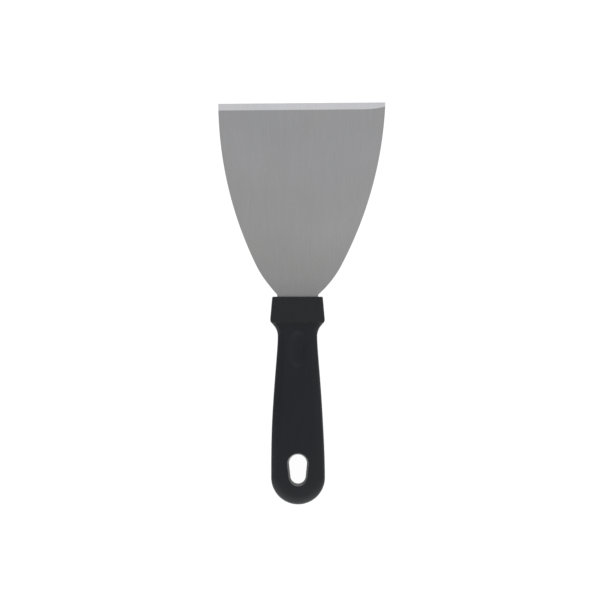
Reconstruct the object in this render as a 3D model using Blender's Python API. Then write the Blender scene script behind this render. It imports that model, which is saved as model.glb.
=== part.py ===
"""Bench scraper: a stamped steel blade with a one-piece plastic handle moulded over its tang.

The scraper lies flat with its bevelled face up. The origin is the middle of the guard's flat back
face, on the handle's centreline. +Y points to the cutting edge, +X to the right, +Z out of the
bevelled face. Lengths are in metres. "Along" is measured from the guard's mouth: it is positive
on the blade, towards the cutting edge, and negative inside the handle, towards the butt.
"""
import bpy
import bmesh
from math import asin, atan, cos, pi, radians, sin, sqrt
from mathutils.geometry import interpolate_bezier

# The whole tool
MOUTH_Y = 0.0075            # the guard's front face, where the blade comes out
BLADE_LENGTH = 0.1158       # guard mouth to the middle of the cutting edge
HANDLE_LENGTH = 0.1242      # guard mouth to the butt
GAP = 0.0003                # clearance between the blade and the plastic round it

# The blade
BLADE_THICKNESS = 0.0010
BLADE_MID_Z = 0.0080        # the sheet's middle plane, also the handle's
BLADE_HALF = 0.05006        # largest half width that the long side arcs reach
LONG_ARC_R = 0.2261         # the upper, gentle arc of each side
LONG_ARC_ALONG = 0.1212     # where its centre lies
SHORT_ARC_R = 0.0600        # the tighter arc that runs into the neck
ARC_JOIN_ALONG = 0.0189     # where the two arcs meet, tangent to each other
NECK_HALF = 0.0120          # half width where the sheet enters the guard
LEAN = 0.0187               # the blade leans to +X by this much per unit of length
LEAN_PIVOT_ALONG = -0.0225  # the lean starts from this point of the centreline
EDGE_SLOPE = 0.0109         # the cutting edge rises this much per unit of +X
BEVEL_WIDTH = 0.0039        # ground width of the cutting bevel
EDGE_THICKNESS = 0.0003     # what the bevel leaves at the edge

# The tang, which is part of the blade's sheet
SHOULDER_DEPTH = 0.0030     # the neck's full width goes this far into the guard
SHOULDER_SLOPE = 0.0020     # the sheet's shoulders slope back by this much to the tang
TANG_LENGTH = 0.0720
TANG_ROOT_HALF = 0.0080
TANG_TIP_HALF = 0.0060
TANG_HOLE_R = 0.0030
TANG_HOLES_ALONG = (-0.014, -0.036, -0.058)

# The handle's outline, seen from above
MOUTH_HALF = 0.01515
GUARD_HALF = 0.0164         # at the guard's widest
GUARD_END_ALONG = -0.0147   # where the slanting shoulder starts
SHOULDER_HALF = 0.0145      # where the shoulder runs into the waist's hollow
SHOULDER_END_ALONG = -0.0169
WAIST_HALF = 0.0118         # the narrowest place
WAIST_ALONG = -0.0237
BUTT_R = 0.0161             # the butt is a half circle
GRIP_HANDLES = (-0.0342, -0.0671)   # where the grip's Bezier control points lie

# The handle's side view: half thickness about the blade's middle plane
FULL_HALF_T = 0.0080        # at the guard, and from the palm swell to the butt
WAIST_HALF_T = 0.0069
COLLAR_END_ALONG = -0.0150  # the guard's face steps down from here ...
COLLAR_STEP_ALONG = -0.0166  # ... to here
SWELL_START_ALONG = -0.0270
SWELL_END_ALONG = -0.0780
CORNER_R = 0.0038           # rounding of the four long edges
BUTT_ROLL = 0.0050          # rounding of the butt in side view

# The hang hole: an egg, wider towards the blade, drafted both ways from the middle plane
HOLE_FRONT_ALONG = -0.0997
HOLE_FRONT_R = 0.0056
HOLE_REAR_ALONG = -0.1071
HOLE_REAR_R = 0.0048
HOLE_DRAFT = 0.0011         # how much wider the hole is at each face

# The shallow thumb recess in the upper face
RECESS_ALONG = -0.0308
RECESS_SIZE = (0.0120, 0.0230)
RECESS_DEPTH = 0.0005
RECESS_X = -0.0004

# How finely the round stretches are divided
LONG_ARC_STEPS = 16
SHORT_ARC_STEPS = 8
TANG_TIP_STEPS = 6
FILLET_STEPS = 4
GRIP_STEPS = 16
BUTT_STEPS = 9
CORNER_STEPS = 4
HOLE_STEPS = 14
PIN_SIDES = 24
RECESS_SIDES = 40


def clear_scene():
    for item in list(bpy.data.objects):
        bpy.data.objects.remove(item, do_unlink=True)


def new_collection(name):
    group = bpy.data.collections.new(name)
    bpy.context.scene.collection.children.link(group)
    return group


def make_material(name, colour, metallic, roughness):
    material = bpy.data.materials.new(name)
    material.use_nodes = True
    shader = material.node_tree.nodes["Principled BSDF"]
    shader.inputs["Base Color"].default_value = (*colour, 1.0)
    shader.inputs["Metallic"].default_value = metallic
    shader.inputs["Roughness"].default_value = roughness
    return material


def world_y(along):
    return MOUTH_Y + along


def centre_x(along):
    """The blade's leaning centreline."""
    return LEAN * (along - LEAN_PIVOT_ALONG)


def spread(start, end, count):
    """count + 1 values from start to end, evenly spaced."""
    return [start + (end - start) * i / count for i in range(count + 1)]


def smooth(value):
    value = min(max(value, 0.0), 1.0)
    return value * value * (3.0 - 2.0 * value)


# ---------------------------------------------------------------- outlines

def long_arc_half(along):
    """Half width of the blade on the long side arc."""
    return BLADE_HALF - LONG_ARC_R + sqrt(LONG_ARC_R ** 2 - (along - LONG_ARC_ALONG) ** 2)


def short_arc_centre():
    """Centre (half width, along) of the short arc, which meets the long one tangentially."""
    turn = asin((LONG_ARC_ALONG - ARC_JOIN_ALONG) / LONG_ARC_R)
    half = long_arc_half(ARC_JOIN_ALONG) - SHORT_ARC_R * cos(turn)
    return half, ARC_JOIN_ALONG + SHORT_ARC_R * sin(turn)


def blade_side():
    """Points (half width, along) of one side of the blade, from the neck to the cutting edge."""
    centre_half, centre_along = short_arc_centre()
    neck_along = centre_along - sqrt(SHORT_ARC_R ** 2 - (NECK_HALF - centre_half) ** 2)
    side = []
    for along in spread(neck_along, ARC_JOIN_ALONG, SHORT_ARC_STEPS)[:-1]:
        half = centre_half + sqrt(SHORT_ARC_R ** 2 - (along - centre_along) ** 2)
        side.append((half, along))
    for along in spread(ARC_JOIN_ALONG, BLADE_LENGTH, LONG_ARC_STEPS):
        side.append((long_arc_half(along), along))
    return side


def tang_side(grow=0.0):
    """One side of the tang from its round tip to the neck, made larger all round by grow."""
    tip = TANG_TIP_HALF + grow
    tip_centre = -(TANG_LENGTH - TANG_TIP_HALF)
    side = []
    for turn in spread(radians(80), 0.0, TANG_TIP_STEPS):
        side.append((tip * cos(turn), tip_centre - tip * sin(turn)))
    side.append((TANG_ROOT_HALF + grow, -SHOULDER_DEPTH - SHOULDER_SLOPE - grow))
    side.append((NECK_HALF + grow, -SHOULDER_DEPTH - grow))
    return side


def leaning_outline(side):
    """Closed outline in world X and Y from one side's (half width, along) points."""
    right = [(centre_x(along) + half, world_y(along)) for half, along in side]
    left = [(centre_x(along) - half, world_y(along)) for half, along in side]
    return right + left[::-1]


def egg_outline(grow):
    """The hang hole's outline: two arcs joined by their common tangents."""
    front = HOLE_FRONT_R + grow
    rear = HOLE_REAR_R + grow
    tangent = asin((front - rear) / (HOLE_FRONT_ALONG - HOLE_REAR_ALONG))
    points = []
    for turn in spread(-tangent, pi + tangent, HOLE_STEPS):
        points.append((front * cos(turn), world_y(HOLE_FRONT_ALONG) + front * sin(turn)))
    for turn in spread(pi + tangent, 2.0 * pi - tangent, HOLE_STEPS):
        points.append((rear * cos(turn), world_y(HOLE_REAR_ALONG) + rear * sin(turn)))
    return points


# ---------------------------------------------------------------- solids

def link_mesh(name, mesh, group, material=None):
    solid = bpy.data.objects.new(name, mesh)
    group.objects.link(solid)
    if material:
        mesh.materials.append(material)
    return solid


def hide_cutter(cutter):
    cutter.hide_render = True
    cutter.display_type = "WIRE"


def claim_new_primitive(name, group):
    """Name the primitive that was just added and keep it in one collection only."""
    shape = bpy.context.object
    shape.name = name
    for owner in list(shape.users_collection):
        owner.objects.unlink(shape)
    group.objects.link(shape)
    hide_cutter(shape)
    return shape


def sheet_solid(name, outline, thickness, middle_z, group, material=None):
    """A flat outline given a thickness, as a closed mesh."""
    curve = bpy.data.curves.new(name + "_outline", "CURVE")
    curve.dimensions = "2D"
    curve.fill_mode = "BOTH"
    curve.extrude = thickness / 2.0
    spline = curve.splines.new("POLY")
    spline.points.add(len(outline) - 1)
    for point, (x, y) in zip(spline.points, outline):
        point.co = (x, y, 0.0, 1.0)
    spline.use_cyclic_u = True
    drawn = bpy.data.objects.new(name + "_outline", curve)
    drawn.location.z = middle_z
    group.objects.link(drawn)
    depsgraph = bpy.context.evaluated_depsgraph_get()
    mesh = bpy.data.meshes.new_from_object(drawn.evaluated_get(depsgraph))
    mesh.name = name
    mesh.materials.clear()
    work = bmesh.new()
    work.from_mesh(mesh)
    bmesh.ops.remove_doubles(work, verts=work.verts, dist=0.00001)
    bmesh.ops.recalc_face_normals(work, faces=work.faces)
    work.to_mesh(mesh)
    work.free()
    solid = link_mesh(name, mesh, group, material)
    solid.matrix_world = drawn.matrix_world
    bpy.data.objects.remove(drawn, do_unlink=True)
    return solid


def loft(name, sections, group, material=None):
    """A closed skin over rings of equally many points, with a flat cap at each end."""
    work = bmesh.new()
    rings = [[work.verts.new(point) for point in section] for section in sections]
    count = len(rings[0])
    for near, far in zip(rings, rings[1:]):
        for i in range(count):
            following = (i + 1) % count
            work.faces.new((near[i], near[following], far[following], far[i]))
    work.faces.new(rings[0])
    work.faces.new(rings[-1])
    bmesh.ops.recalc_face_normals(work, faces=work.faces)
    mesh = bpy.data.meshes.new(name)
    work.to_mesh(mesh)
    work.free()
    return link_mesh(name, mesh, group, material)


def pin_cutter(name, along, radius, height, group):
    """An upright cylinder on the blade's centreline."""
    bpy.ops.mesh.primitive_cylinder_add(vertices=PIN_SIDES, radius=radius, depth=height)
    pin = claim_new_primitive(name, group)
    pin.location = (centre_x(along), world_y(along), BLADE_MID_Z)
    return pin


def cut(solid, cutter):
    step = solid.modifiers.new("cut_" + cutter.name, "BOOLEAN")
    step.operation = "DIFFERENCE"
    step.solver = "EXACT"
    step.object = cutter


# ---------------------------------------------------------------- blade

def bevel_cutter(group):
    """A block whose lower face is the ground bevel."""
    width = 2.6 * BLADE_HALF
    depth = 5.0 * BEVEL_WIDTH
    bpy.ops.mesh.primitive_cube_add(size=1.0)
    wedge = claim_new_primitive("bevel_cutter", group)
    for vertex in wedge.data.vertices:
        vertex.co.x *= width
        vertex.co.y = (vertex.co.y + 0.5) * depth
        vertex.co.z = (vertex.co.z + 0.5) * depth
    drop = atan((BLADE_THICKNESS - EDGE_THICKNESS) / BEVEL_WIDTH)
    heel_y = world_y(BLADE_LENGTH - BEVEL_WIDTH)
    wedge.rotation_euler = (-drop, 0.0, atan(EDGE_SLOPE))
    wedge.location = (centre_x(BLADE_LENGTH), heel_y, BLADE_MID_Z + BLADE_THICKNESS / 2.0)
    return wedge


def make_blade(parts, cutters):
    side = tang_side() + [(NECK_HALF, 0.0)] + blade_side()
    outline = leaning_outline(side)
    corner = len(side) - 1
    for i in (corner, corner + 1):
        x, y = outline[i]
        outline[i] = (x, y + EDGE_SLOPE * (x - centre_x(BLADE_LENGTH)))
    steel = make_material("blade_steel", (0.42, 0.42, 0.42), 1.0, 0.38)
    blade = sheet_solid("blade", outline, BLADE_THICKNESS, BLADE_MID_Z, parts, steel)
    cut(blade, bevel_cutter(cutters))
    for number, along in enumerate(TANG_HOLES_ALONG, start=1):
        name = "tang_hole_cutter_%d" % number
        cut(blade, pin_cutter(name, along, TANG_HOLE_R, 4.0 * BLADE_THICKNESS, cutters))
    return blade


# ---------------------------------------------------------------- handle

def grip_side(steps):
    """Bezier from the waist to the butt's half circle, as (half width, along)."""
    knots = [(WAIST_HALF, WAIST_ALONG), (WAIST_HALF, GRIP_HANDLES[0]),
             (BUTT_R, GRIP_HANDLES[1]), (BUTT_R, BUTT_R - HANDLE_LENGTH)]
    curve = interpolate_bezier(*[(half, along, 0.0) for half, along in knots], steps)
    return [(point[0], point[1]) for point in curve]


def waist_fillet(steps):
    """Concave arc from the end of the guard's shoulder to the waist, without its last point."""
    rise = SHOULDER_HALF - WAIST_HALF
    run = SHOULDER_END_ALONG - WAIST_ALONG
    radius = (rise ** 2 + run ** 2) / (2.0 * rise)
    sweep = asin(run / radius)
    side = []
    for turn in spread(sweep, 0.0, steps)[:-1]:
        half = WAIST_HALF + radius * (1.0 - cos(turn))
        side.append((half, WAIST_ALONG + radius * sin(turn)))
    return side


def shoulder_half(along):
    """Half width on the guard's slanting shoulder."""
    part = (GUARD_END_ALONG - along) / (GUARD_END_ALONG - SHOULDER_END_ALONG)
    return GUARD_HALF + (SHOULDER_HALF - GUARD_HALF) * part


def handle_side():
    """Points (half width, along) of one side of the handle, from the guard's mouth to the butt."""
    side = [(MOUTH_HALF, 0.0), (GUARD_HALF, GUARD_END_ALONG)]
    for along in (COLLAR_END_ALONG, COLLAR_STEP_ALONG):
        side.append((shoulder_half(along), along))
    side += waist_fillet(FILLET_STEPS)
    side += grip_side(GRIP_STEPS)
    butt_centre = BUTT_R - HANDLE_LENGTH
    for turn in spread(0.0, radians(82), BUTT_STEPS)[1:]:
        side.append((BUTT_R * cos(turn), butt_centre - BUTT_R * sin(turn)))
    side.append((BUTT_R * sin(radians(3)), -HANDLE_LENGTH))
    return side


def half_thickness(along):
    """The handle's half thickness: guard, step down, waist, palm swell and rounded butt."""
    step = smooth((COLLAR_END_ALONG - along) / (COLLAR_END_ALONG - COLLAR_STEP_ALONG))
    swell = smooth((SWELL_START_ALONG - along) / (SWELL_START_ALONG - SWELL_END_ALONG))
    half = FULL_HALF_T - (FULL_HALF_T - WAIST_HALF_T) * (step - swell)
    left = HANDLE_LENGTH + along
    if left < BUTT_ROLL:
        half -= BUTT_ROLL - sqrt(BUTT_ROLL ** 2 - (BUTT_ROLL - left) ** 2)
    return half


def handle_section(half_width, along):
    """A rounded rectangle across the handle."""
    half_t = half_thickness(along)
    radius = min(CORNER_R, 0.95 * half_width, 0.95 * half_t)
    ring = []
    for quarter, (sign_x, sign_z) in enumerate(((1, 1), (-1, 1), (-1, -1), (1, -1))):
        middle_x = sign_x * (half_width - radius)
        middle_z = BLADE_MID_Z + sign_z * (half_t - radius)
        for turn in spread(quarter * pi / 2.0, (quarter + 1) * pi / 2.0, CORNER_STEPS):
            ring.append((middle_x + radius * cos(turn), world_y(along), middle_z + radius * sin(turn)))
    return ring


def pocket_cutter(group):
    """The room that the tang takes up in the handle, with pins of plastic left in its holes."""
    side = tang_side(GAP) + [(NECK_HALF + GAP, 0.002)]
    thickness = BLADE_THICKNESS + 2.0 * GAP
    pocket = sheet_solid("tang_pocket_cutter", leaning_outline(side), thickness, BLADE_MID_Z, group)
    hide_cutter(pocket)
    for number, along in enumerate(TANG_HOLES_ALONG, start=1):
        name = "tang_pin_guide_%d" % number
        cut(pocket, pin_cutter(name, along, TANG_HOLE_R - GAP, 4.0 * thickness, group))
    return pocket


def hole_cutter(group):
    """The hang hole, narrowest at the handle's middle plane."""
    over = 0.001
    slope = HOLE_DRAFT / FULL_HALF_T
    rings = []
    for height in (-over, BLADE_MID_Z, 2.0 * BLADE_MID_Z + over):
        grow = slope * abs(height - BLADE_MID_Z)
        rings.append([(x, y, height) for x, y in egg_outline(grow)])
    cutter = loft("hang_hole_cutter", rings, group)
    hide_cutter(cutter)
    return cutter


def recess_cutter(group):
    """An upright elliptical cylinder that ends below the handle's upper face."""
    height = 8.0 * RECESS_DEPTH
    face_z = BLADE_MID_Z + half_thickness(RECESS_ALONG)
    bpy.ops.mesh.primitive_cylinder_add(vertices=RECESS_SIDES, radius=0.5, depth=1.0)
    oval = claim_new_primitive("thumb_recess_cutter", group)
    for vertex in oval.data.vertices:
        vertex.co.x *= RECESS_SIZE[0]
        vertex.co.y *= RECESS_SIZE[1]
        vertex.co.z *= height
    oval.location = (RECESS_X, world_y(RECESS_ALONG), face_z - RECESS_DEPTH + height / 2.0)
    return oval


def make_handle(parts, cutters):
    plastic = make_material("handle_plastic", (0.021, 0.022, 0.025), 0.0, 0.45)
    sections = [handle_section(half, along) for half, along in handle_side()]
    handle = loft("handle", sections, parts, plastic)
    cut(handle, pocket_cutter(cutters))
    cut(handle, hole_cutter(cutters))
    cut(handle, recess_cutter(cutters))
    handle.data.shade_smooth()
    handle.data.set_sharp_from_angle(angle=radians(35))
    return handle


clear_scene()
scraper = new_collection("bench_scraper")
cutting_tools = new_collection("cutters")
make_blade(scraper, cutting_tools)
make_handle(scraper, cutting_tools)
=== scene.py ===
"""The bench scraper's looks: a brushed steel blade and a black moulded handle, lying face up.

Everything is in metres, in the row's frame: +Y points to the cutting edge and +Z out of the
bevelled face. "Along" is measured from the guard's mouth, positive on the blade and negative in
the handle, as in the CAD source. The pieces' main sizes are read from the CAD nodes' boxes.
"""
from math import asin, cos, hypot, pi, radians, sin, sqrt

import bmesh
import bpy
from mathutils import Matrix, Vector
from mathutils.geometry import delaunay_2d_cdt, interpolate_bezier


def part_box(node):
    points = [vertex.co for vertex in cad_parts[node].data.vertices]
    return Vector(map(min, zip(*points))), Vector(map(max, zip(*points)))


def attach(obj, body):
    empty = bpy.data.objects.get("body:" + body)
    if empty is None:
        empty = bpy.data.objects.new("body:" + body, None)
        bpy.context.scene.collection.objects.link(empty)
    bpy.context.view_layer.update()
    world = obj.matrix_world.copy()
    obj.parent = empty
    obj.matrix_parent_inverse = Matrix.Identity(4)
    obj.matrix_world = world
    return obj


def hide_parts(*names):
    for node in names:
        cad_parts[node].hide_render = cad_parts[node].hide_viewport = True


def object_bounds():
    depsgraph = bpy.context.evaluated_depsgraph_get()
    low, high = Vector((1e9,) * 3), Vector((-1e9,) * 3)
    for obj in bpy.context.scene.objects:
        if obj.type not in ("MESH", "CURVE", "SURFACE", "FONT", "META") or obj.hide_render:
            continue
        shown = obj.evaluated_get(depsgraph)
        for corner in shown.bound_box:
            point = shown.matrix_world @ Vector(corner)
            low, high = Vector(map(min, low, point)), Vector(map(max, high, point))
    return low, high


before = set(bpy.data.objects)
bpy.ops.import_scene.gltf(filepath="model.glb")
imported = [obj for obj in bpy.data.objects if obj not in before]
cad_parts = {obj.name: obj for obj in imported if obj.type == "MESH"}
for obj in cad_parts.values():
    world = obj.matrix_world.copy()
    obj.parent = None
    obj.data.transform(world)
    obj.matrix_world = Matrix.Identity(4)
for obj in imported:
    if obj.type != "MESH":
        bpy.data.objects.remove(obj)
cad_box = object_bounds()

MM = 0.001
INSIDE = 0.01 * MM          # the fine surfaces stay this much inside the CAD box
ALL_TRIANGLES = 0           # asks delaunay_2d_cdt for triangles out to the points' convex hull
TOLERANCE = 1e-9

handle_low, handle_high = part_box("handle")
blade_low, blade_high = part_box("blade")

# The frame's own places
MOUTH_Y = handle_high.y
HANDLE_LENGTH = handle_high.y - handle_low.y
MID_Z = (blade_low.z + blade_high.z) / 2.0
HALF_SHEET = (blade_high.z - blade_low.z) / 2.0
FULL_HALF_T = (handle_high.z - handle_low.z) / 2.0 - INSIDE

# The blade
BLADE_LENGTH = 115.8 * MM
LEAN = 0.0187                   # the centreline drifts to +X by this share of its length
LEAN_PIVOT_ALONG = -22.5 * MM
EDGE_SLOPE = 0.0085             # the cutting edge rises towards +X by this share of its length
BLADE_HALF = 50.04 * MM
LONG_ARC_R = 226.1 * MM         # the side's long arc ...
LONG_ARC_ALONG = 121.2 * MM     # ... which is widest here, past the cutting edge ...
SHORT_ARC_R = 60.0 * MM         # ... and the short one that leads it into the neck ...
ARC_JOIN_ALONG = 18.9 * MM      # ... from here
NECK_HALF = 12.0 * MM
NECK_SHOULDER = 0.62 * MM       # the left side stands out by this much where it meets the guard ...
NECK_SHOULDER_RUN = 8.0 * MM    # ... and runs out over this length
NECK_CLEAR = 0.10 * MM          # the shoulder stops this far in front of the guard
BEVEL_SLOPE = 0.7 / 3.9         # fall over width, as in the CAD source
BEVEL_WIDTH = 4.10 * MM
BEVEL_RIGHT_LOSS = 1.55 * MM    # the bevel narrows by this much at its right corner ...
BEVEL_LOSS_START = 0.72         # ... from this share of the half width on ...
BEVEL_LOSS_POWER = 2.2          # ... with this power of the way out
EDGE_BREAK = 0.06 * MM          # the sheet's sharp rims are broken by this much
HEEL_CLEAR = 0.3 * MM           # the outline has no points this close behind the bevel's corners
FLAT_SHARE = 0.8                # rows of points within the flat sheet reach this share of its width
FLAT_STEP = 4.0 * MM
FLAT_ROWS = (8.0 * MM, 108.0 * MM)
BLADE_CREASE = radians(30)      # edges sharper than this stay sharp

# The tang
SHOULDER_DEPTH = 3.0 * MM
SHOULDER_SLOPE = 2.0 * MM
TANG_LENGTH = 72.0 * MM
TANG_ROOT_HALF = 8.0 * MM
TANG_TIP_HALF = 6.0 * MM
TANG_TIP_TURN = radians(86)     # each side of the round tip stops just short of the middle
TANG_HOLE_R = 3.0 * MM
TANG_HOLES_ALONG = (-14.0 * MM, -36.0 * MM, -58.0 * MM)
HOLE_SIDES = 40
FIT = 0.04 * MM                 # clearance between the steel and the plastic moulded round it
ROOM_PAST_MOUTH = 1.0 * MM      # the room cut for the tang starts this far outside the mouth

# The handle's outline
MOUTH_HALF = 15.12 * MM
MOUTH_CORNER_R = 0.60 * MM
GUARD_SIDE_ALONG = -1.0 * MM    # the guard's straight side starts here
GUARD_HALF = 16.42 * MM
GUARD_END_ALONG = -14.7 * MM
GUARD_CORNER_FRONT = 1.1 * MM   # how far the guard's corner rounding reaches in front of the corner ...
GUARD_CORNER_REAR = 0.88 * MM   # ... and behind it
GUARD_CORNER_PULL = 0.62        # how near its curve's handles come to the sharp corner
SHOULDER_HALF = 14.5 * MM
SHOULDER_END_ALONG = -16.9 * MM
WAIST_HALF = 11.8 * MM
WAIST_ALONG = -23.7 * MM
GRIP_HANDLES = (-34.2 * MM, -67.1 * MM)     # how far along the two handles of its curve lie
BUTT_R = 16.1 * MM
BUTT_ALONG = BUTT_R - HANDLE_LENGTH
BUTT_SHIFT = 0.34 * MM          # the butt lies this much to the right of the centreline ...
BUTT_SHIFT_ALONG = -70.0 * MM   # ... which starts to bend here
BUTT_SHIFT_RUN = 40.0 * MM

# The handle's thickness and rounding
WAIST_HALF_T = 6.9 * MM
COLLAR_END_ALONG = -15.3 * MM
COLLAR_STEP_ALONG = -16.1 * MM
SWELL_START_ALONG = -27.0 * MM
SWELL_END_ALONG = -78.0 * MM
GUARD_ROUND = 2.6 * MM
GRIP_ROUND = 5.0 * MM
ROUND_START_ALONG = -14.0 * MM  # the rounding grows from the guard's to the grip's from here ...
ROUND_RUN = 40.0 * MM           # ... over this length
TAPER_START_ALONG = -84.0 * MM
TAPER_RUN = 40.0 * MM
BUTT_TAPER = 1.3 * MM           # each face falls away this much towards the butt's end
CROWN = 0.35 * MM
BUTT_CROWN = 0.85 * MM
BUTT_CROWN_RUN = 22.0 * MM
MOUTH_ROUND = 0.50 * MM
PARTING_RIDGE = 0.05 * MM
PARTING_WIDTH = 0.10 * MM
WALL_DRAFT = 0.02
HANDLE_CREASE = radians(32)     # edges sharper than this stay sharp

# The hang hole
HOLE_FRONT_ALONG = -99.7 * MM
HOLE_FRONT_R = 5.35 * MM
HOLE_REAR_ALONG = -107.1 * MM
HOLE_REAR_R = 4.58 * MM
HOLE_DRAFT = 1.05 * MM
HOLE_ROUND = 0.35 * MM

# The thumb recess
RECESS_X = 0.1 * MM
RECESS_ALONG = -31.2 * MM
RECESS_HALF = (6.3 * MM, 10.8 * MM)         # half width and half length
RECESS_DEPTH = 0.60 * MM
RECESS_END_POWER = 4.0          # towards its ends the floor rises with this power of the way out
RECESS_SIDE_WALL = 0.70         # width of its soft side walls, as a share of its half width

# The handle's face mesh. Each clearance is the least distance from the points already there.
RECESS_RINGS = (0.2, 0.35, 0.5, 0.62, 0.7, 0.78, 0.83, 0.87, 0.91, 0.95, 0.985, 1.0, 1.03)
RECESS_CLEAR = 0.22 * MM
FINE_STEP = 0.5 * MM
STEP_MARGIN = 0.1 * MM          # fine rows across the collar's step start this much inside it
STEP_CLEAR = 0.05 * MM
MOUTH_ROWS = (-0.03 * MM, -0.1 * MM, -0.2 * MM, -0.34 * MM, -0.5 * MM)
MOUTH_CLEAR = 0.03 * MM
COARSE_STEP = 1.5 * MM
COARSE_START = -1.6 * MM
COARSE_END = 6.0 * MM - HANDLE_LENGTH
COARSE_CLEAR = 0.7 * MM
HOLE_MARGIN = 0.5 * MM          # no points of the face come nearer to the hole's rim than this ...
SIDE_MARGIN = 0.4 * MM          # ... or to the rounding of the long edges ...
BUTT_MARGIN = 0.5 * MM          # ... or to the butt's
CELL = 1.0 * MM                 # points are looked up by square cells of this size


def smooth(value):
    """Goes from 0 to 1 with soft ends while the value does."""
    value = min(max(value, 0.0), 1.0)
    return value * value * (3.0 - 2.0 * value)


def spread(start, end, count):
    """Evenly spaced values that divide start..end into count steps."""
    return [start + (end - start) * i / count for i in range(count + 1)]


def world_y(along):
    return MOUTH_Y + along


def centre_x(along):
    """The blade's leaning centreline."""
    return LEAN * (along - LEAN_PIVOT_ALONG)


def link(name, mesh):
    piece = bpy.data.objects.new(name, mesh)
    bpy.context.scene.collection.objects.link(piece)
    return piece


def mesh_from(work, name):
    mesh = bpy.data.meshes.new(name)
    work.to_mesh(mesh)
    work.free()
    return mesh


def plan_triangles(points, loops, in_hole):
    """Delaunay triangles over points in plan, as triples of point numbers. loops are closed or open
    chains of point numbers that must appear as edges. What lies outside the closed ones is left out,
    and so is each triangle whose middle in_hole says is in a hole."""
    walls = []
    for chain, closed in loops:
        walls += list(zip(chain, chain[1:]))
        if closed:
            walls.append((chain[-1], chain[0]))
    places = [Vector(point) for point in points]
    made = delaunay_2d_cdt(places, walls, [], ALL_TRIANGLES, TOLERANCE, True)
    number = [source[0] for source in made[3]]
    triangles = [[number[i] for i in face] for face in made[2]]
    walls = {frozenset(wall) for wall in walls}
    beside = {}
    for which, triangle in enumerate(triangles):
        for side in zip(triangle, triangle[1:] + triangle[:1]):
            beside.setdefault(frozenset(side), []).append(which)
    queue = [owners[0] for side, owners in beside.items() if len(owners) == 1 and side not in walls]
    outside = set()
    while queue:
        which = queue.pop()
        if which in outside:
            continue
        outside.add(which)
        triangle = triangles[which]
        for side in zip(triangle, triangle[1:] + triangle[:1]):
            if frozenset(side) not in walls:
                queue += beside[frozenset(side)]
    kept = []
    for which, triangle in enumerate(triangles):
        x = sum(points[i][0] for i in triangle) / 3.0
        y = sum(points[i][1] for i in triangle) / 3.0
        if which not in outside and not in_hole(x, y):
            kept.append(triangle)
    return kept


# ---------------------------------------------------------------- the blade's shape

def long_arc_half(along):
    """Half the blade's width on the long arc."""
    return BLADE_HALF - LONG_ARC_R + sqrt(LONG_ARC_R ** 2 - (along - LONG_ARC_ALONG) ** 2)


def short_arc_centre():
    """Centre of the short arc, as (half width, along). It leaves the long arc without a corner."""
    turn = asin((LONG_ARC_ALONG - ARC_JOIN_ALONG) / LONG_ARC_R)
    half = long_arc_half(ARC_JOIN_ALONG) - SHORT_ARC_R * cos(turn)
    return half, ARC_JOIN_ALONG + SHORT_ARC_R * sin(turn)


def blade_side():
    """One side of the flared sheet from the neck to the cutting edge, as (half width, along)."""
    centre_half, centre_along = short_arc_centre()
    neck_along = centre_along - sqrt(SHORT_ARC_R ** 2 - (NECK_HALF - centre_half) ** 2)
    side = []
    for along in spread(neck_along, ARC_JOIN_ALONG, 40)[:-1]:
        side.append((centre_half + sqrt(SHORT_ARC_R ** 2 - (along - centre_along) ** 2), along))
    for along in spread(ARC_JOIN_ALONG, BLADE_LENGTH, 90):
        side.append((long_arc_half(along), along))
    return side


def tang_side(grow=0.0):
    """One side of the tang from its round tip to the neck, as (half width, along)."""
    tip = TANG_TIP_HALF + grow
    tip_centre = -(TANG_LENGTH - TANG_TIP_HALF)
    side = []
    for turn in spread(TANG_TIP_TURN, 0.0, 14):
        side.append((tip * cos(turn), tip_centre - tip * sin(turn)))
    side.append((TANG_ROOT_HALF + grow, -SHOULDER_DEPTH - SHOULDER_SLOPE - grow))
    side.append((NECK_HALF + grow, -SHOULDER_DEPTH - grow))
    return side


def edge_along(x):
    """Where the cutting edge lies: it rises slightly towards +X."""
    return BLADE_LENGTH + EDGE_SLOPE * (x - centre_x(BLADE_LENGTH))


def bevel_width(x):
    part = (x - centre_x(BLADE_LENGTH)) / BLADE_HALF
    way_out = max(0.0, (part - BEVEL_LOSS_START) / (1.0 - BEVEL_LOSS_START))
    return BEVEL_WIDTH - BEVEL_RIGHT_LOSS * way_out ** BEVEL_LOSS_POWER


def blade_top(x, y):
    """Height of the sheet's upper face, which falls away on the bevel."""
    past = (y - MOUTH_Y) - (edge_along(x) - bevel_width(x))
    return MID_Z + HALF_SHEET - BEVEL_SLOPE * max(0.0, past)


def circle(middle_x, middle_y, radius, count):
    turns = spread(0.0, 2.0 * pi, count)[:-1]
    return [(middle_x + radius * cos(turn), middle_y + radius * sin(turn)) for turn in turns]


def tang_holes():
    return [(centre_x(along), world_y(along)) for along in TANG_HOLES_ALONG]


def add_hole_circles(points, loops, radius):
    """Adds a circle of points, and its closed chain, round each of the tang's holes."""
    for middle_x, middle_y in tang_holes():
        first = len(points)
        points += circle(middle_x, middle_y, radius, HOLE_SIDES)
        loops.append((list(range(first, len(points))), True))


def near_tang_hole(x, y, radius):
    return any(hypot(x - a, y - b) < radius for a, b in tang_holes())


def neck_shoulder(along):
    """How far the neck's left side stands out."""
    return NECK_SHOULDER * (1.0 - smooth(along / NECK_SHOULDER_RUN)) if along > 0.0 else 0.0


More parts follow.
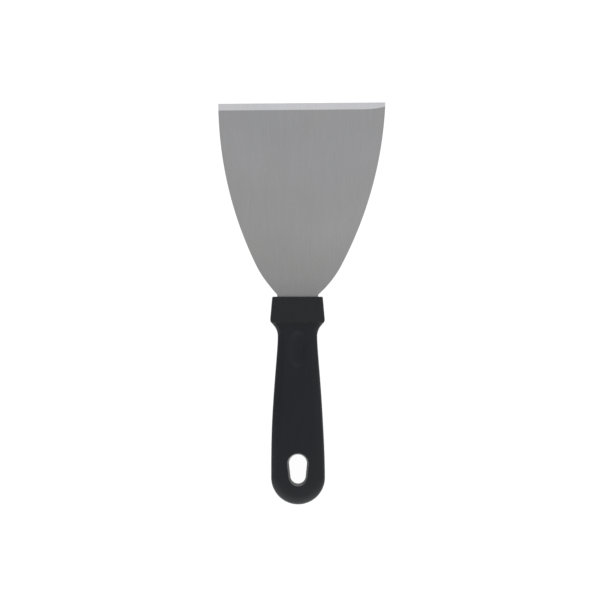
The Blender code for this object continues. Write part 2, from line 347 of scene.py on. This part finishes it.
def blade_plan():
    """The sheet's outline in X and Y: its right side towards the edge, the slanting cutting edge from
    right to left, and its left side back to the tang's tip."""
    side = tang_side() + [(NECK_HALF, 0.0), (NECK_HALF, NECK_CLEAR)] + blade_side()
    right = [(centre_x(along) + half, world_y(along)) for half, along in side]
    left = [(centre_x(along) - half - neck_shoulder(along), world_y(along)) for half, along in side]
    for points in (right, left):
        x = points[-1][0]
        points[-1] = (x, world_y(edge_along(x)))
    start, end = right[-1][0], left[-1][0]
    edge = [(x, world_y(edge_along(x))) for x in spread(start, end, 60)[1:-1]]
    return right, edge, left[::-1]


def heel_end(points, sign):
    """Where the bevel's upper boundary meets one side of the sheet."""
    x = points[-1][0]
    along = edge_along(x) - bevel_width(x)
    return centre_x(along) + sign * long_arc_half(along), world_y(along)


def shrunk(ring, distance):
    """A closed counter-clockwise ring of points, moved inwards by a distance."""
    moved = []
    for before, here, after in zip(ring[-1:] + ring[:-1], ring, ring[1:] + ring[:1]):
        first = (Vector(here) - Vector(before)).normalized()
        second = (Vector(after) - Vector(here)).normalized()
        inward = Vector((-first.y - second.y, first.x + second.x))
        inward = inward * (distance / (1.0 + first.dot(second)))
        moved.append((here[0] + inward.x, here[1] + inward.y))
    return moved


def past_heel(x, y):
    """Whether a place lies on the bevel."""
    return (y - MOUTH_Y) > edge_along(x) - bevel_width(x)


def mark_bevel(face):
    middle = face.calc_center_median()
    face.material_index = 1 if past_heel(middle.x, middle.y) else 0


def make_blade():
    right, edge, left = blade_plan()
    starts = heel_end(right, 1.0), heel_end(left[::-1], -1.0)
    right = [p for p in right[:-1] if p[1] < starts[0][1] - HEEL_CLEAR] + [starts[0], right[-1]]
    left = [left[0], starts[1]] + [p for p in left[1:] if p[1] < starts[1][1] - HEEL_CLEAR]
    outline = right + edge + left
    rim = shrunk(outline, EDGE_BREAK)
    ends = [outline.index(point) for point in starts]

    points = list(rim)
    loops = [(list(range(len(rim))), True)]
    chain = [ends[0]]
    for x in spread(rim[ends[0]][0], rim[ends[1]][0], 72)[1:-1]:
        chain.append(len(points))
        points.append((x, world_y(edge_along(x) - bevel_width(x))))
    chain.append(ends[1])
    loops.append((chain, False))
    add_hole_circles(points, loops, TANG_HOLE_R + EDGE_BREAK)
    for row in spread(*FLAT_ROWS, 20):
        half = long_arc_half(max(row, ARC_JOIN_ALONG)) * FLAT_SHARE - FLAT_STEP
        for x in spread(-half, half, max(2, int(half / FLAT_STEP))):
            points.append((centre_x(row) + x, world_y(row)))

    def in_hole(x, y):
        return near_tang_hole(x, y, TANG_HOLE_R + EDGE_BREAK)

    work = bmesh.new()
    low = MID_Z - HALF_SHEET
    top = [work.verts.new((x, y, blade_top(x, y))) for x, y in points]
    bottom = [work.verts.new((x, y, low)) for x, y in points]
    for triangle in plan_triangles(points, loops, in_hole):
        mark_bevel(work.faces.new([top[i] for i in triangle]))
        work.faces.new([bottom[i] for i in reversed(triangle)])
    walls = [(loops[0][0], outline)]
    for (middle_x, middle_y), (chain, _) in zip(tang_holes(), loops[2:]):
        walls.append((chain, circle(middle_x, middle_y, TANG_HOLE_R, HOLE_SIDES)))
    for chain, ring in walls:
        upper = [work.verts.new((x, y, blade_top(x, y) - EDGE_BREAK)) for x, y in ring]
        lower = [work.verts.new((x, y, low + EDGE_BREAK)) for x, y in ring]
        rows = [[top[i] for i in chain], upper, lower, [bottom[i] for i in chain]]
        for above, below in zip(rows, rows[1:]):
            for i in range(len(ring)):
                following = (i + 1) % len(ring)
                corners = (above[i], above[following], below[following], below[i])
                mark_bevel(work.faces.new(corners))
    bmesh.ops.recalc_face_normals(work, faces=work.faces)
    heel = {top[i] for i in loops[1][0]}
    for crease in work.edges:
        on_heel = all(vertex in heel for vertex in crease.verts)
        crease.smooth = not on_heel and crease.calc_face_angle(pi) < BLADE_CREASE
    loose = [vertex for vertex in work.verts if not vertex.link_faces]
    bmesh.ops.delete(work, geom=loose, context="VERTS")
    for face in work.faces:
        face.smooth = True
    return link("steel_blade", mesh_from(work, "steel_blade"))


# ---------------------------------------------------------------- the handle's shape

def bezier(knots, steps):
    """Points of a curve from the first knot to the last, with the two between as its handles."""
    curve = interpolate_bezier(*[(half, along, 0.0) for half, along in knots], steps)
    return [(point[0], point[1]) for point in curve]


def handle_side():
    """One side of the handle from the mouth to the butt's half circle, as (half width, along)."""
    side = []
    for turn in spread(radians(90), 0.0, 6):
        half = MOUTH_HALF - MOUTH_CORNER_R * (1.0 - cos(turn))
        side.append((half, -MOUTH_CORNER_R * (1.0 - sin(turn))))
    slope = (GUARD_HALF - MOUTH_HALF) / -GUARD_END_ALONG
    before = GUARD_END_ALONG + GUARD_CORNER_FRONT
    for along in spread(GUARD_SIDE_ALONG, before, 16):
        side.append((MOUTH_HALF - slope * along, along))
    fall = (GUARD_HALF - SHOULDER_HALF) / (GUARD_END_ALONG - SHOULDER_END_ALONG)
    after = GUARD_END_ALONG - GUARD_CORNER_REAR
    start = (MOUTH_HALF - slope * before, before)
    end = (GUARD_HALF - fall * (GUARD_END_ALONG - after), after)
    corner = (GUARD_HALF, GUARD_END_ALONG)
    near = tuple(start[i] + (corner[i] - start[i]) * GUARD_CORNER_PULL for i in (0, 1))
    far = tuple(end[i] + (corner[i] - end[i]) * GUARD_CORNER_PULL for i in (0, 1))
    side += bezier((start, near, far, end), 10)[1:]
    for along in spread(after, SHOULDER_END_ALONG, 10)[1:]:
        side.append((GUARD_HALF - fall * (GUARD_END_ALONG - along), along))
    rise = SHOULDER_HALF - WAIST_HALF
    run = SHOULDER_END_ALONG - WAIST_ALONG
    radius = (rise ** 2 + run ** 2) / (2.0 * rise)
    for turn in spread(asin(run / radius), 0.0, 16)[1:-1]:
        side.append((WAIST_HALF + radius * (1.0 - cos(turn)), WAIST_ALONG + radius * sin(turn)))
    knots = ((WAIST_HALF, WAIST_ALONG), (WAIST_HALF, GRIP_HANDLES[0]),
             (BUTT_R, GRIP_HANDLES[1]), (BUTT_R, BUTT_ALONG))
    side += bezier(knots, 70)
    return side


def half_thickness(along):
    """Half the handle's thickness: full at the guard and the butt's start, least at the waist."""
    step = smooth((COLLAR_END_ALONG - along) / (COLLAR_END_ALONG - COLLAR_STEP_ALONG))
    swell = smooth((SWELL_START_ALONG - along) / (SWELL_START_ALONG - SWELL_END_ALONG))
    taper = BUTT_TAPER * (max(0.0, TAPER_START_ALONG - along) / TAPER_RUN) ** 2
    return FULL_HALF_T - (FULL_HALF_T - WAIST_HALF_T) * (step - swell) - taper


def edge_round(along):
    """Radius of the rounded long edges: small on the guard, large on the grip."""
    return GUARD_ROUND + (GRIP_ROUND - GUARD_ROUND) * smooth((ROUND_START_ALONG - along) / ROUND_RUN)


def crown(along):
    """How far the faces fall from the middle to the sides, more so on the butt."""
    return CROWN + (BUTT_CROWN - CROWN) * smooth((TAPER_START_ALONG - along) / BUTT_CROWN_RUN)


def mouth_drop(along):
    """How far the faces fall in the rounding at the guard's mouth."""
    left = MOUTH_ROUND + along
    return MOUTH_ROUND - sqrt(MOUTH_ROUND ** 2 - left ** 2) if left > 0.0 else 0.0


def recess_drop(x, along):
    """Depth of the thumb recess: an oval dish with crisp ends and soft sides."""
    across = (x - RECESS_X) / RECESS_HALF[0]
    away = hypot(across, (along - RECESS_ALONG) / RECESS_HALF[1])
    if away >= 1.0:
        return 0.0
    sideways = (across / max(away, 0.1)) ** 2
    end_form = 1.0 - away ** RECESS_END_POWER
    side_form = smooth((1.0 - away) / RECESS_SIDE_WALL)
    return RECESS_DEPTH * (end_form + (side_form - end_form) * sideways)


class HandleForm:
    """The handle's faces as heights above its middle plane."""

    def __init__(self):
        self.side = handle_side()
        self.alongs = [along for _, along in self.side]
        self.halves = [half for half, _ in self.side]

    def half_width(self, along):
        if along <= BUTT_ALONG:
            return BUTT_R
        for i in range(len(self.alongs) - 1):
            if self.alongs[i] >= along >= self.alongs[i + 1]:
                gap = self.alongs[i] - self.alongs[i + 1]
                part = (self.alongs[i] - along) / gap if gap > 0.0 else 0.0
                return self.halves[i] + (self.halves[i + 1] - self.halves[i]) * part
        return self.halves[0]

    def height(self, x, along, upper):
        """Height of the crowned face, before its edges are rounded."""
        if along < BUTT_ALONG:
            share = hypot(x, along - BUTT_ALONG) / BUTT_R
        else:
            share = x / self.half_width(along)
        value = half_thickness(along) - crown(along) * share ** 2 - mouth_drop(along)
        return value - recess_drop(x, along) if upper else value


def wall_profile(form, place_of, upper):
    """(x, along, height) from the parting line up the wall and over the rounded edge. place_of gives
    the place that lies a distance inside the handle's outline."""
    along = place_of(0.0)[1]
    radius = edge_round(along)
    shoulder = half_thickness(along) - crown(along) - mouth_drop(along) - radius
    profile = [(0.0, 0.0), (PARTING_RIDGE, PARTING_WIDTH)]
    for height in spread(PARTING_WIDTH, shoulder, 3)[1:-1]:
        profile.append((PARTING_RIDGE + WALL_DRAFT * height, height))
    base = PARTING_RIDGE + WALL_DRAFT * shoulder
    for turn in spread(0.0, pi / 2.0, 12):
        inset = base + radius * (1.0 - cos(turn))
        face = form.height(*place_of(inset), upper)
        profile.append((inset, shoulder + (face - shoulder) * sin(turn)))
    return [(*place_of(inset), height) for inset, height in profile]


def egg(grow, steps=44):
    """The hang hole's outline in X and Y, made larger all round by grow."""
    front = HOLE_FRONT_R + grow
    rear = HOLE_REAR_R + grow
    tangent = asin((front - rear) / (HOLE_FRONT_ALONG - HOLE_REAR_ALONG))
    points = []
    for turn in spread(-tangent, pi + tangent, steps):
        points.append((front * cos(turn), HOLE_FRONT_ALONG + front * sin(turn)))
    for turn in spread(pi + tangent, 2.0 * pi - tangent, steps):
        points.append((rear * cos(turn), HOLE_REAR_ALONG + rear * sin(turn)))
    return points


def outer_rings(form, upper):
    """Rings of (x, along, height) from the parting line to the inner end of the rounding. Each runs
    from the mouth's right end round the butt to its left end."""
    def beside(half, along, sign):
        return lambda inset: (sign * (half - inset), along)

    def round_butt(turn):
        return lambda inset: ((BUTT_R - inset) * cos(turn), BUTT_ALONG - (BUTT_R - inset) * sin(turn))

    places = [beside(half, along, 1.0) for half, along in form.side]
    places += [round_butt(turn) for turn in spread(0.0, pi, 72)[1:-1]]
    places += [beside(half, along, -1.0) for half, along in reversed(form.side)]
    columns = [wall_profile(form, place_of, upper) for place_of in places]
    return [list(ring) for ring in zip(*columns)]


def hole_rings(form, upper):
    """Rings of (x, along, height) from the middle plane up the hole's wall and over its rim."""
    shoulder = FULL_HALF_T - CROWN - HOLE_ROUND
    steps = [(HOLE_DRAFT * height / shoulder, height, 0.0) for height in spread(0.0, shoulder, 5)[:-1]]
    for turn in spread(0.0, pi / 2.0, 8):
        steps.append((HOLE_DRAFT + HOLE_ROUND * (1.0 - cos(turn)), shoulder, sin(turn)))
    rings = []
    for grow, height, part in steps:
        ring = []
        for x, along in egg(grow):
            face = form.height(x, along, upper)
            ring.append((x, along, height + (face - height) * part if part else height))
        rings.append(ring)
    return rings


def face_points(upper, taken):
    """Points for the face: coarse rows, fine rows across the collar's step and the mouth's rounding,
    and rings round the recess. taken are points that no new one may crowd."""
    wanted = []
    if upper:
        for share in RECESS_RINGS:
            for turn in spread(0.0, 2.0 * pi, 72)[:-1]:
                x = RECESS_X + RECESS_HALF[0] * share * cos(turn)
                wanted.append((x, RECESS_ALONG + RECESS_HALF[1] * share * sin(turn), RECESS_CLEAR))
    step_rows = spread(COLLAR_END_ALONG + STEP_MARGIN, COLLAR_STEP_ALONG - STEP_MARGIN, 12)
    coarse_rows = spread(COARSE_START, COARSE_END, int(-COARSE_END / COARSE_STEP))
    rows = [(along, FINE_STEP, STEP_CLEAR) for along in step_rows]
    rows += [(along, FINE_STEP, MOUTH_CLEAR) for along in MOUTH_ROWS]
    rows += [(along, COARSE_STEP, COARSE_CLEAR) for along in coarse_rows]
    for along, step, clear in rows:
        half = int(GUARD_HALF / step) * step
        for x in spread(-half, half, round(2.0 * half / step)):
            wanted.append((x, along, clear))
    cells = {}

    def enter(x, along):
        cells.setdefault((int(x // CELL), int(along // CELL)), []).append((x, along))

    def crowded(x, along, clear):
        column, row = int(x // CELL), int(along // CELL)
        for i in (-1, 0, 1):
            for j in (-1, 0, 1):
                for a, b in cells.get((column + i, row + j), ()):
                    if hypot(x - a, along - b) < clear:
                        return True
        return False

    for x, along in taken:
        enter(x, along)
    kept = []
    for x, along, clear in wanted:
        if not crowded(x, along, clear):
            enter(x, along)
            kept.append((x, along))
    return kept


def in_egg(x, along, grow):
    """Whether a point lies in the hang hole's outline made larger by grow."""
    span = HOLE_FRONT_ALONG - HOLE_REAR_ALONG
    part = min(max((HOLE_FRONT_ALONG - along) / span, 0.0), 1.0)
    radius = HOLE_FRONT_R + (HOLE_REAR_R - HOLE_FRONT_R) * part + grow
    return hypot(x, along - (HOLE_FRONT_ALONG - span * part)) < radius


def within_face(form, x, along):
    """Whether a place lies on the face, clear of the hole's rim and of the rounded edges."""
    if in_egg(x, along, HOLE_DRAFT + HOLE_ROUND + HOLE_MARGIN):
        return False
    reach = form.half_width(along) - edge_round(along) - SIDE_MARGIN
    if along < BUTT_ALONG:
        radius = BUTT_R - GRIP_ROUND - BUTT_MARGIN
        reach = sqrt(max(0.0, radius ** 2 - (along - BUTT_ALONG) ** 2))
    return abs(x) < reach


def half_shell(work, form, upper, shared):
    """Adds the upper or lower half of the handle's skin. shared holds the vertices on the parting
    plane, which both halves use. Returns the vertices along the mouth, from right to left."""
    sign = 1.0 if upper else -1.0

    def vert(point):
        x, along, height = point
        if height == 0.0:
            key = (round(x, 8), round(along, 8))
            if key not in shared:
                shared[key] = work.verts.new((x, world_y(along), MID_Z))
            return shared[key]
        return work.verts.new((x, world_y(along), MID_Z + sign * height))

    outer = outer_rings(form, upper)
    outer_verts = [[vert(point) for point in ring] for ring in outer]
    for low, high in zip(outer_verts, outer_verts[1:]):
        for i in range(len(low) - 1):
            work.faces.new((low[i], low[i + 1], high[i + 1], high[i]))
    hole = hole_rings(form, upper)
    hole_verts = [[vert(point) for point in ring] for ring in hole]
    for low, high in zip(hole_verts, hole_verts[1:]):
        for i in range(len(low)):
            following = (i + 1) % len(low)
            work.faces.new((low[i], low[following], high[following], high[i]))
    rim, lip = outer[-1], hole[-1]
    mouth_row = [(x, 0.0) for x in spread(rim[-1][0], rim[0][0], 20)[1:-1]]
    points = [(x, along) for x, along, _ in rim] + mouth_row + [(x, along) for x, along, _ in lip]
    border = list(range(len(rim) + len(mouth_row)))
    inner = list(range(len(border), len(points)))
    for x, along in face_points(upper, points):
        if within_face(form, x, along):
            points.append((x, along))

    def in_hole(x, along):
        return in_egg(x, along, HOLE_DRAFT + HOLE_ROUND)

    triangles = plan_triangles(points, [(border, True), (inner, True)], in_hole)
    verts = list(outer_verts[-1])
    verts += [vert((x, along, form.height(x, along, upper))) for x, along in mouth_row]
    verts += hole_verts[-1]
    for x, along in points[len(verts):]:
        verts.append(vert((x, along, form.height(x, along, upper))))
    for triangle in triangles:
        work.faces.new([verts[i] for i in triangle])
    right_column = [ring[0] for ring in outer_verts]
    left_column = [ring[-1] for ring in outer_verts]
    row = verts[len(rim):len(rim) + len(mouth_row)]
    return right_column + row[::-1] + left_column[::-1]


def pocket_mesh():
    """The room for the tang, open at the mouth, with the moulded pins left standing."""
    side = tang_side(FIT) + [(NECK_HALF + FIT, ROOM_PAST_MOUTH)]
    right = [(centre_x(along) + half, world_y(along)) for half, along in side]
    left = [(centre_x(along) - half, world_y(along)) for half, along in side]
    outline = right + left[::-1]
    points = list(outline)
    loops = [(list(range(len(outline))), True)]
    add_hole_circles(points, loops, TANG_HOLE_R - FIT)

    def in_pin(x, y):
        return near_tang_hole(x, y, TANG_HOLE_R - FIT)

    triangles = plan_triangles(points, loops, in_pin)
    work = bmesh.new()
    reach = HALF_SHEET + FIT
    top = [work.verts.new((x, y, MID_Z + reach)) for x, y in points]
    bottom = [work.verts.new((x, y, MID_Z - reach)) for x, y in points]
    for triangle in triangles:
        work.faces.new([top[i] for i in triangle])
        work.faces.new([bottom[i] for i in reversed(triangle)])
    for chain, _ in loops:
        for i, j in zip(chain, chain[1:] + chain[:1]):
            work.faces.new((top[i], bottom[i], bottom[j], top[j]))
    bmesh.ops.recalc_face_normals(work, faces=work.faces)
    return mesh_from(work, "tang_room")


def butt_shift(along):
    """How far the handle has bent to the right."""
    return BUTT_SHIFT * smooth((BUTT_SHIFT_ALONG - along) / BUTT_SHIFT_RUN)


def make_handle():
    form = HandleForm()
    work = bmesh.new()
    shared = {}
    upper = half_shell(work, form, True, shared)
    lower = half_shell(work, form, False, shared)
    work.faces.new(upper + lower[-2:0:-1])
    for vertex in work.verts:
        vertex.co.x += butt_shift(vertex.co.y - MOUTH_Y)
    bmesh.ops.recalc_face_normals(work, faces=work.faces)
    handle = link("moulded_handle", mesh_from(work, "moulded_handle"))
    room = link("tang_room", pocket_mesh())
    step = handle.modifiers.new("tang_room", "BOOLEAN")
    step.operation = "DIFFERENCE"
    step.solver = "EXACT"
    step.object = room
    depsgraph = bpy.context.evaluated_depsgraph_get()
    cut_mesh = bpy.data.meshes.new_from_object(handle.evaluated_get(depsgraph))
    handle.modifiers.clear()
    handle.data = cut_mesh
    cut_mesh.name = "moulded_handle"
    bpy.data.objects.remove(room, do_unlink=True)
    cut_mesh.shade_smooth()
    cut_mesh.set_sharp_from_angle(angle=HANDLE_CREASE)
    return handle


blade = make_blade()
handle = make_handle()
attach(blade, "root")
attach(handle, "root")
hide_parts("blade")
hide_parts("handle")


# ---------------------------------------------------------------- materials

# Noise scales are grains per metre along X, Y and Z.
CLOUDS = (26.0, 16.0, 10.0)     # faint clouds in the steel's colour and roughness
CLOUD_TINT = 0.35
CLOUD_ROUGH = 0.01
REFLECTION_TINT_START = 15.0 * MM          # painted reflection tint: the steel's colour turns cool from here ...
REFLECTION_TINT_END = 105.0 * MM           # ... to here ...
REFLECTION_TINT_SHARE = 0.65               # ... by this share of the way
SMUDGES = (22.0, 26.0, 10.0)
SMUDGE_TONE = 0.026
NECK_PAINTED_SHADE = 0.90                # painted shade: the steel is made a little darker near the guard ...
NECK_PAINTED_SHADE_RUN = 46.0 * MM
NECK_POLISH = 0.07              # ... and a little smoother
NECK_POLISH_RUN = 14.0 * MM
STREAK_HEIGHT = 0.0025 * MM

# Each of a steel's layers of streaks: noise scales, change of tone, change of roughness.
BRUSHED = (((250.0, 9.0, 40.0), 0.002, 0.004),
           ((1500.0, 110.0, 100.0), 0.0025, 0.005),
           ((15000.0, 90.0, 400.0), 0.034, 0.030))
BRUSHED_WARM = (0.590, 0.583, 0.579)
BRUSHED_COOL = (0.580, 0.583, 0.600)
BRUSHED_ROUGH = 0.29
GROUND = (((330.0, 25.0, 40.0), 0.010, 0.004),
          ((1300.0, 30.0, 100.0), 0.018, 0.008),
          ((12000.0, 90.0, 300.0), 0.030, 0.020))
GROUND_WARM = (0.680, 0.675, 0.686)
GROUND_COOL = (0.672, 0.675, 0.706)
GROUND_ROUGH = 0.26

GRIP_COLOUR = (0.0022, 0.0032, 0.0073)
GUARD_COLOUR = (0.0056, 0.0064, 0.0088)
GRAIN = (4200.0, 4200.0, 4200.0)
GRAIN_HEIGHT = 0.03 * MM
FLOW = (120.0, 30.0, 120.0)     # soft marks that run along the moulding
FLOW_TONE = (0.94, 1.06)
FLOW_ROUGH = (0.345, 0.395)
FLOW_HEIGHT = 0.02 * MM
RUBS = (900.0, 90.0, 900.0)
RUB_ROUGH = 0.03
GUARD_ROUGH = 0.27              # the guard is this much rougher than the grip
PLASTIC_IOR = 1.46


class Nodes:
    """Shorthand for building a material's node tree."""

    def __init__(self, name):
        self.material = bpy.data.materials.new(name)
        self.material.use_nodes = True
        self.tree = self.material.node_tree
        self.shader = self.tree.nodes["Principled BSDF"]

    def add(self, kind, **settings):
        node = self.tree.nodes.new(kind)
        for key, value in settings.items():
            setattr(node, key, value)
        return node

    def wire(self, source, target):
        self.tree.links.new(source, target)

    def place(self, scale):
        """Object coordinates in metres, times scale."""
        coordinates = self.add("ShaderNodeTexCoord")
        mapping = self.add("ShaderNodeMapping")
        mapping.inputs["Scale"].default_value = scale
        self.wire(coordinates.outputs["Object"], mapping.inputs["Vector"])
        return mapping.outputs["Vector"]

    def noise(self, scale, detail=2.0, roughness=0.5, seed=0.0):
        """Noise whose grains are 1 / scale metres long on each axis."""
        node = self.add("ShaderNodeTexNoise", noise_dimensions="4D")
        node.inputs["Scale"].default_value = 1.0
        node.inputs["Detail"].default_value = detail
        node.inputs["Roughness"].default_value = roughness
        node.inputs["W"].default_value = seed
        self.wire(self.place(scale), node.inputs["Vector"])
        return node.outputs["Fac"]

    def span(self, value, low, high, start=0.3, end=0.7):
        """Maps a value from start..end to low..high."""
        node = self.add("ShaderNodeMapRange")
        node.inputs["From Min"].default_value = start
        node.inputs["From Max"].default_value = end
        node.inputs["To Min"].default_value = low
        node.inputs["To Max"].default_value = high
        self.wire(value, node.inputs["Value"])
        return node.outputs["Result"]

    def along_y(self, start, end, low, high):
        """A value that goes smoothly from low to high between two places along the tool."""
        coordinates = self.add("ShaderNodeTexCoord")
        parts = self.add("ShaderNodeSeparateXYZ")
        self.wire(coordinates.outputs["Object"], parts.inputs["Vector"])
        node = self.add("ShaderNodeMapRange", interpolation_type="SMOOTHSTEP")
        node.inputs["From Min"].default_value = world_y(start)
        node.inputs["From Max"].default_value = world_y(end)
        node.inputs["To Min"].default_value = low
        node.inputs["To Max"].default_value = high
        self.wire(parts.outputs["Y"], node.inputs["Value"])
        return node.outputs["Result"]

    def maths(self, operation, first, second):
        node = self.add("ShaderNodeMath", operation=operation)
        for value, socket in zip((first, second), node.inputs):
            if isinstance(value, (int, float)):
                socket.default_value = value
            else:
                self.wire(value, socket)
        return node.outputs[0]

    def bump(self, height, distance, under=None):
        node = self.add("ShaderNodeBump")
        node.inputs["Distance"].default_value = distance
        self.wire(height, node.inputs["Height"])
        if under is not None:
            self.wire(under, node.inputs["Normal"])
        return node.outputs["Normal"]


def steel(name, warm, cool, roughness, layers):
    """Steel whose colour turns from warm to cool towards its edge, a painted reflection tint, and
    darkens near the guard as painted shade, with layers of streaks.
    """
    made = Nodes(name)
    clouds = made.noise(CLOUDS, detail=1.5, seed=7.0)
    tint = made.add("ShaderNodeMix", data_type="RGBA")
    # painted reflection tint: the colour turns cool towards the edge, and the clouds add a random tint
    # on top
    painted_reflection_tint = made.along_y(REFLECTION_TINT_START, REFLECTION_TINT_END, 0.0, REFLECTION_TINT_SHARE)
    made.wire(made.maths("ADD", painted_reflection_tint, made.span(clouds, 0.0, CLOUD_TINT)), tint.inputs["Factor"])
    tint.inputs["A"].default_value = (*warm, 1.0)
    tint.inputs["B"].default_value = (*cool, 1.0)
    # painted shade: the steel's colour darkens towards the guard
    tone = made.along_y(0.0, NECK_PAINTED_SHADE_RUN, NECK_PAINTED_SHADE, 1.0)
    smudges = made.noise(SMUDGES, detail=1.0, seed=11.0)
    tone = made.maths("ADD", tone, made.span(smudges, -SMUDGE_TONE, SMUDGE_TONE))
    rough = made.span(clouds, roughness - CLOUD_ROUGH, roughness + CLOUD_ROUGH)
    rough = made.maths("ADD", rough, made.along_y(0.0, NECK_POLISH_RUN, -NECK_POLISH, 0.0))
    for number, (scale, tone_change, rough_change) in enumerate(layers):
        streaks = made.noise(scale, roughness=0.6, seed=3.0 * number)
        tone = made.maths("ADD", tone, made.span(streaks, -tone_change, tone_change))
        rough = made.maths("ADD", rough, made.span(streaks, -rough_change, rough_change))
    colour = made.add("ShaderNodeVectorMath", operation="SCALE")
    made.wire(tint.outputs["Result"], colour.inputs[0])
    made.wire(tone, colour.inputs["Scale"])
    made.wire(colour.outputs["Vector"], made.shader.inputs["Base Color"])
    made.wire(rough, made.shader.inputs["Roughness"])
    made.wire(made.bump(streaks, STREAK_HEIGHT), made.shader.inputs["Normal"])
    made.shader.inputs["Metallic"].default_value = 1.0
    return made.material


def plastic(name, colour, guard_colour):
    """Moulded plastic with a fine eroded grain, rougher and paler on the guard."""
    made = Nodes(name)
    on_guard = made.along_y(COLLAR_STEP_ALONG, COLLAR_END_ALONG, 0.0, 1.0)
    grain = made.noise(GRAIN, roughness=0.6)
    flow = made.noise(FLOW, seed=5.0)
    rubs = made.noise(RUBS, detail=3.0, seed=9.0)
    paint = made.add("ShaderNodeMix", data_type="RGBA")
    made.wire(on_guard, paint.inputs["Factor"])
    paint.inputs["A"].default_value = (*colour, 1.0)
    paint.inputs["B"].default_value = (*guard_colour, 1.0)
    shaded = made.add("ShaderNodeVectorMath", operation="SCALE")
    made.wire(paint.outputs["Result"], shaded.inputs[0])
    made.wire(made.span(flow, *FLOW_TONE), shaded.inputs["Scale"])
    made.wire(shaded.outputs["Vector"], made.shader.inputs["Base Color"])
    rough = made.maths("ADD", made.span(flow, *FLOW_ROUGH), made.span(rubs, -RUB_ROUGH, RUB_ROUGH))
    rough = made.maths("ADD", rough, made.maths("MULTIPLY", on_guard, GUARD_ROUGH))
    made.wire(rough, made.shader.inputs["Roughness"])
    marks = made.bump(flow, FLOW_HEIGHT)
    made.wire(made.bump(grain, GRAIN_HEIGHT, under=marks), made.shader.inputs["Normal"])
    made.shader.inputs["IOR"].default_value = PLASTIC_IOR
    return made.material


blade.data.materials.append(steel("brushed_steel", BRUSHED_WARM, BRUSHED_COOL, BRUSHED_ROUGH, BRUSHED))
blade.data.materials.append(steel("ground_steel", GROUND_WARM, GROUND_COOL, GROUND_ROUGH, GROUND))
handle.data.materials.append(plastic("black_plastic", GRIP_COLOUR, GUARD_COLOUR))


# ---------------------------------------------------------------- stage, light and camera

FLOOR_HALF = 20.0               # metres from the floor's middle to its sides
FLOOR_GREY = 0.15
FLOOR_ROUGH = 0.9
FLOOR_SPECULAR = 0.1
FLOOR_GLOW = 0.96               # makes the floor white but for a very faint shadow

# The sky's lobes, each as (direction, start, end, low, high). A lobe's light goes from low to high
# while the dot product of the view with its direction goes from start to end.
SKY = (((0.0, 0.0, 1.0), 1.00, 0.50, 0.42, 0.46),       # dim straight above
       ((0.0, 0.0, -1.0), -0.30, 0.30, 0.00, -0.14),    # dimmer below
       ((0.0, -0.26, -0.97), 0.80, 1.00, 0.00, 0.32),   # a bright patch below, towards the butt
       ((0.0, 1.0, 0.0), 0.06, 0.75, 0.00, 0.72),       # bright beyond the cutting edge
       ((0.0, -1.0, 0.0), 0.05, 0.38, 0.00, 0.44),      # bright behind the butt ...
       ((0.0, -1.0, 0.0), 0.38, 0.90, 0.00, 0.20),      # ... and brighter still nearer the horizon
       ((-0.45, -0.90, 0.0), 0.38, 0.68, 0.00, 0.16),   # behind the butt more on the left ...
       ((0.45, -0.90, 0.0), 0.38, 0.68, 0.00, -0.14),   # ... than on the right
       ((1.0, 0.0, 0.0), -0.35, 0.35, -0.08, 0.08))     # dimmer on the left than on the right

CAMERA_DISTANCE = 1.2
VIEW_WIDTH = 0.3558             # metres across the picture at the distance of the sheet
SENSOR_WIDTH = 36.0
CAMERA_ALONG = -0.5 * MM


def make_floor():
    work = bmesh.new()
    bmesh.ops.create_grid(work, x_segments=1, y_segments=1, size=FLOOR_HALF)
    floor = link("floor", mesh_from(work, "floor"))
    floor.location.z = cad_box[0][2]
    floor.visible_glossy = False
    made = Nodes("pale_floor")
    made.shader.inputs["Base Color"].default_value = (FLOOR_GREY, FLOOR_GREY, FLOOR_GREY, 1.0)
    made.shader.inputs["Roughness"].default_value = FLOOR_ROUGH
    made.shader.inputs["Specular IOR Level"].default_value = FLOOR_SPECULAR
    made.shader.inputs["Emission Color"].default_value = (1.0, 1.0, 1.0, 1.0)
    made.shader.inputs["Emission Strength"].default_value = FLOOR_GLOW
    floor.data.materials.append(made.material)


def make_world():
    """A soft studio sky, added up from its lobes."""
    world = bpy.data.worlds.new("studio")
    bpy.context.scene.world = world
    world.use_nodes = True
    tree = world.node_tree
    direction = tree.nodes.new("ShaderNodeTexCoord")
    total = None
    for towards, start, end, low, high in SKY:
        along = tree.nodes.new("ShaderNodeVectorMath")
        along.operation = "DOT_PRODUCT"
        along.inputs[1].default_value = towards
        tree.links.new(direction.outputs["Generated"], along.inputs[0])
        lobe = tree.nodes.new("ShaderNodeMapRange")
        lobe.interpolation_type = "SMOOTHSTEP"
        for socket, value in zip(("From Min", "From Max", "To Min", "To Max"), (start, end, low, high)):
            lobe.inputs[socket].default_value = value
        tree.links.new(along.outputs["Value"], lobe.inputs["Value"])
        if total is None:
            total = lobe.outputs["Result"]
            continue
        both = tree.nodes.new("ShaderNodeMath")
        both.operation = "ADD"
        tree.links.new(total, both.inputs[0])
        tree.links.new(lobe.outputs["Result"], both.inputs[1])
        total = both.outputs["Value"]
    tree.links.new(total, tree.nodes["Background"].inputs["Strength"])
    tree.nodes["Background"].inputs["Color"].default_value = (1.0, 1.0, 1.0, 1.0)


def make_camera():
    """Straight above the guard's mouth, with +Y up in the picture."""
    lens = bpy.data.cameras.new("camera")
    lens.sensor_width = SENSOR_WIDTH
    lens.lens = SENSOR_WIDTH * CAMERA_DISTANCE / VIEW_WIDTH
    camera = bpy.data.objects.new("camera", lens)
    camera.location = (0.0, world_y(CAMERA_ALONG), MID_Z + CAMERA_DISTANCE)
    bpy.context.scene.collection.objects.link(camera)
    bpy.context.scene.camera = camera


make_floor()
make_world()
make_camera()
bpy.context.scene.view_settings.view_transform = "Standard"
